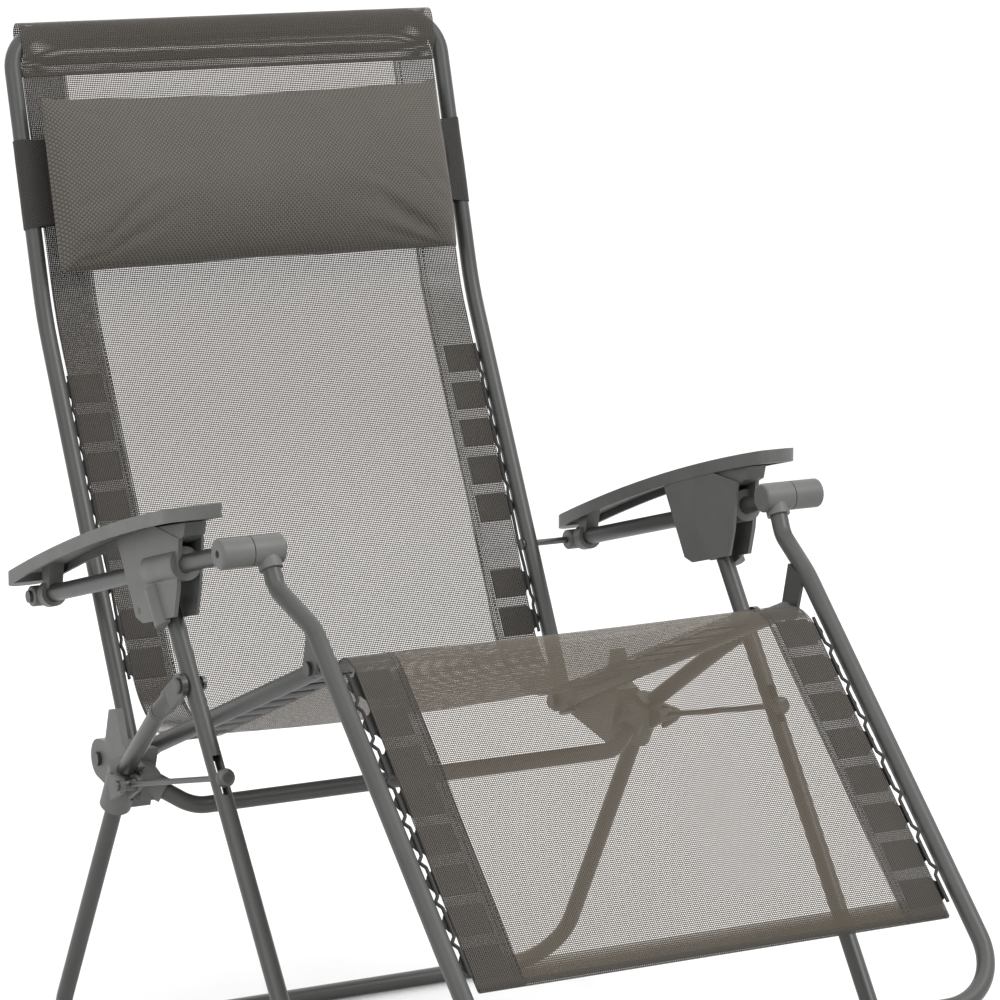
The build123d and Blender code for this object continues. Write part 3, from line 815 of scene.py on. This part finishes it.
def pillow_body():
    """A bolster, fullest in its lower half, sewn flat at its two ends; and where its centre lies."""
    low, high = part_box("head_pillow")
    half_x = high.x + 0.003
    centre = (low + high) / 2 + PILLOW_SHIFT
    bm = bmesh.new()
    rings = []
    for k in range(PILLOW_STATIONS + 1):
        t = -1 + 2 * k / PILLOW_STATIONS
        x = half_x * t
        full = max(0.0, 1 - abs(t) ** 9) ** 0.5
        thick = PILLOW_EDGE + PILLOW_FULL * full
        tall = PILLOW_HALF_H * (1.0 - 0.035 * full) + 0.002
        ring = []
        for j in range(PILLOW_AROUND):
            a = 2 * math.pi * j / PILLOW_AROUND
            c, s = math.cos(a), math.sin(a)
            up = tall * math.copysign(abs(s) ** 0.8, s)
            out = thick * math.copysign(abs(c) ** 0.95, c) * (1 - 0.5 * s)
            ring.append(bm.verts.new((x, -out, up)))
        rings.append(ring)
    for a, b in zip(rings, rings[1:]):
        for j in range(PILLOW_AROUND):
            n = (j + 1) % PILLOW_AROUND
            bm.faces.new((a[j], a[n], b[n], b[j]))
    bm.faces.new(rings[0][::-1])
    bm.faces.new(rings[-1])
    bmesh.ops.recalc_face_normals(bm, faces=bm.faces)
    return bmesh_piece("pillow", bm, PILLOW), centre


def puff(obj):
    """Inflates a closed shape as cloth and keeps each point near where it began."""
    bpy.context.view_layer.objects.active = obj
    remesh = obj.modifiers.new("remesh", "REMESH")
    remesh.mode = "VOXEL"
    remesh.voxel_size = PILLOW_VOXEL
    bpy.ops.object.modifier_apply(modifier="remesh")
    start = [v.co.copy() for v in obj.data.vertices]
    half_x = max(p.x for p in start)
    pinned = obj.vertex_groups.new(name="ends")
    for v in obj.data.vertices:
        edge = (abs(v.co.x) - (half_x - PILLOW_PINNED)) / PILLOW_PINNED
        if edge > 0:
            pinned.add([v.index], min(1.0, edge * 1.5), "REPLACE")
    cloth = obj.modifiers.new("cloth", "CLOTH")
    cloth.settings.vertex_group_mass = "ends"
    cloth.settings.use_pressure = True
    cloth.settings.uniform_pressure_force = PILLOW_PRESSURE
    cloth.settings.effector_weights.gravity = 0
    cloth.settings.tension_stiffness = 18
    cloth.settings.compression_stiffness = 14
    cloth.settings.bending_stiffness = 0.4
    cloth.settings.quality = 6
    scene = bpy.context.scene
    for f in range(1, PUFF_FRAMES + 1):
        scene.frame_set(f)
    bpy.ops.object.modifier_apply(modifier="cloth")
    for v, p in zip(obj.data.vertices, start):
        move = v.co - p
        if move.length > PILLOW_CAP:
            v.co = p + move * (PILLOW_CAP / move.length)
    scene.frame_set(1)


def make_pillow():
    pillow, centre = pillow_body()
    puff(pillow)
    for v in pillow.data.vertices:
        v.co.y = min(v.co.y, PILLOW_BACK)
        v.co.y = max(v.co.y, PILLOW_FRONT)
    smooth = pillow.modifiers.new("subdivision", "SUBSURF")
    smooth.levels = smooth.render_levels = 1
    bpy.context.view_layer.objects.active = pillow
    bpy.ops.object.modifier_apply(modifier="subdivision")
    lean = Matrix.Rotation(-PILLOW_TILT, 4, "X")
    pillow.data.transform(Matrix.Translation(centre) @ lean)
    for p in pillow.data.polygons:
        p.use_smooth = True
    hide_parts("head_pillow")
    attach(pillow, "back_frame")


make_pillow()


STRAP_HALF_H = 0.044
TAB_SIZE = (0.013, 0.0009, 0.040)


def make_straps():
    """Cloth loops that hold the pillow to the back tubes, with a plain sewn tab on one."""
    low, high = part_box("pillow_straps")
    tube_x = high.x - 0.0112
    middle = (low + high) / 2
    up = Vector((0, UP_TOP[0], UP_TOP[1]))
    front = Vector((0, FRONT_N[0], FRONT_N[1]))
    origin = Vector((0, TOP_BAR[0], TOP_BAR[1]))
    origin -= up * (origin - Vector((0, middle.y, middle.z))).dot(up)
    reach = TUBE_R + 0.0013
    route = [(0.222, 0.012), (0.232, 0.013), (0.242, 0.0125), (0.252, 0.0115)]
    for j in range(9):
        a = math.pi / 2 - math.pi * j / 8
        route.append((tube_x + reach * math.cos(a), reach * math.sin(a)))
    route += [(0.252, -0.009), (0.242, -0.006), (0.232, -0.0045), (0.222, -0.0042)]
    for side, word in ((1, "left"), (-1, "right")):
        rows = []
        for k in range(15):
            t = -1 + 2 * k / 14
            row, run = [], 0.0
            for j, (x, n) in enumerate(route):
                if j:
                    run += math.hypot(x - route[j - 1][0], n - route[j - 1][1])
                flare = 1.0 + 0.10 * min(1, max(0, (x - 0.225) / 0.04))
                crease = 0.0007 * noise.noise(Vector((side * 3 + j * 0.5, t * 3, 7)))
                p = origin + up * (STRAP_HALF_H * t * flare) + front * (n + crease)
                p.x = side * x
                row.append((p, (run, STRAP_HALF_H * t)))
            rows.append(row if side > 0 else row[::-1])
        strap = grid_piece(f"pillow_strap_{word}", rows, STRAP)
        if side > 0:
            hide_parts("pillow_straps")
        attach(strap, "back_frame")
    bm = bmesh.new()
    bmesh.ops.create_cube(bm, size=1.0)
    for v in bm.verts:
        v.co = Vector((v.co.x * TAB_SIZE[0], v.co.y * TAB_SIZE[1], v.co.z * TAB_SIZE[2]))
    bmesh.ops.bevel(bm, geom=bm.edges[:], offset=0.0004, segments=2, affect="EDGES")
    tab = bmesh_piece("strap_tab", bm, FINISH["black_plastic"])
    spot = origin + front * 0.0150 + up * 0.012 + Vector((0.2405, 0, 0))
    tab.data.transform(Matrix.Translation(spot) @ Matrix.Rotation(-PILLOW_TILT, 4, "X"))
    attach(tab, "back_frame")


make_straps()


# ---------------------------------------------------------------- studio
def make_floor():
    bm = bmesh.new()
    bmesh.ops.create_grid(bm, x_segments=1, y_segments=1, size=30)
    mat, _, shader = new_material("studio_floor")
    shader.inputs["Base Color"].default_value = (0.66, 0.66, 0.66, 1)
    shader.inputs["Roughness"].default_value = 0.9
    shader.inputs["Emission Color"].default_value = (1, 1, 1, 1)
    shader.inputs["Emission Strength"].default_value = 0.08
    floor = bmesh_piece("studio_floor", bm, mat)
    floor.location.z = -0.0005


def area_light(name, place_at, target, size, power):
    light = bpy.data.lights.new(name, "AREA")
    light.shape = "DISK"
    light.size = size
    light.energy = power
    obj = bpy.data.objects.new(name, light)
    bpy.context.scene.collection.objects.link(obj)
    obj.location = place_at
    obj.rotation_euler = (Vector(target) - Vector(place_at)).to_track_quat("-Z", "Y").to_euler()


def make_studio():
    make_floor()
    world = bpy.data.worlds.new("studio")
    world.use_nodes = True
    tree = world.node_tree
    coord = tree.nodes.new("ShaderNodeTexCoord")
    split = tree.nodes.new("ShaderNodeSeparateXYZ")
    tree.links.new(coord.outputs["Generated"], split.inputs[0])
    background = tree.nodes["Background"]
    background.inputs[0].default_value = (1, 1, 1, 1)
    tree.links.new(ranged(tree, split.outputs[2], 0.1, 0.9, 1.0, 1.7), background.inputs[1])
    bpy.context.scene.world = world
    area_light("key", (1.6, -2.6, 3.4), (0, 0, 0.5), 1.6, 60)
    area_light("fill", (-3.0, -1.8, 1.8), (0, 0, 0.5), 2.2, 18)
    area_light("rim", (0.5, 3.0, 2.4), (0, 0, 0.6), 1.6, 25)
    bpy.context.scene.view_settings.view_transform = "Standard"


CAMERA_AT = (-2.119, -3.875, 1.437)
CAMERA_AZIMUTH = 29.07
CAMERA_DOWN = 10.39
CAMERA_LENS = 158.8


def make_camera():
    data = bpy.data.cameras.new("camera")
    data.lens = CAMERA_LENS
    data.sensor_width = 36.0
    camera = bpy.data.objects.new("camera", data)
    bpy.context.scene.collection.objects.link(camera)
    camera.location = CAMERA_AT
    turn = math.radians(CAMERA_AZIMUTH)
    down = math.radians(CAMERA_DOWN)
    look = Vector((math.sin(turn) * math.cos(down), math.cos(turn) * math.cos(down), -math.sin(down)))
    camera.rotation_euler = look.to_track_quat("-Z", "Y").to_euler()
    bpy.context.scene.camera = camera


make_studio()
make_camera()
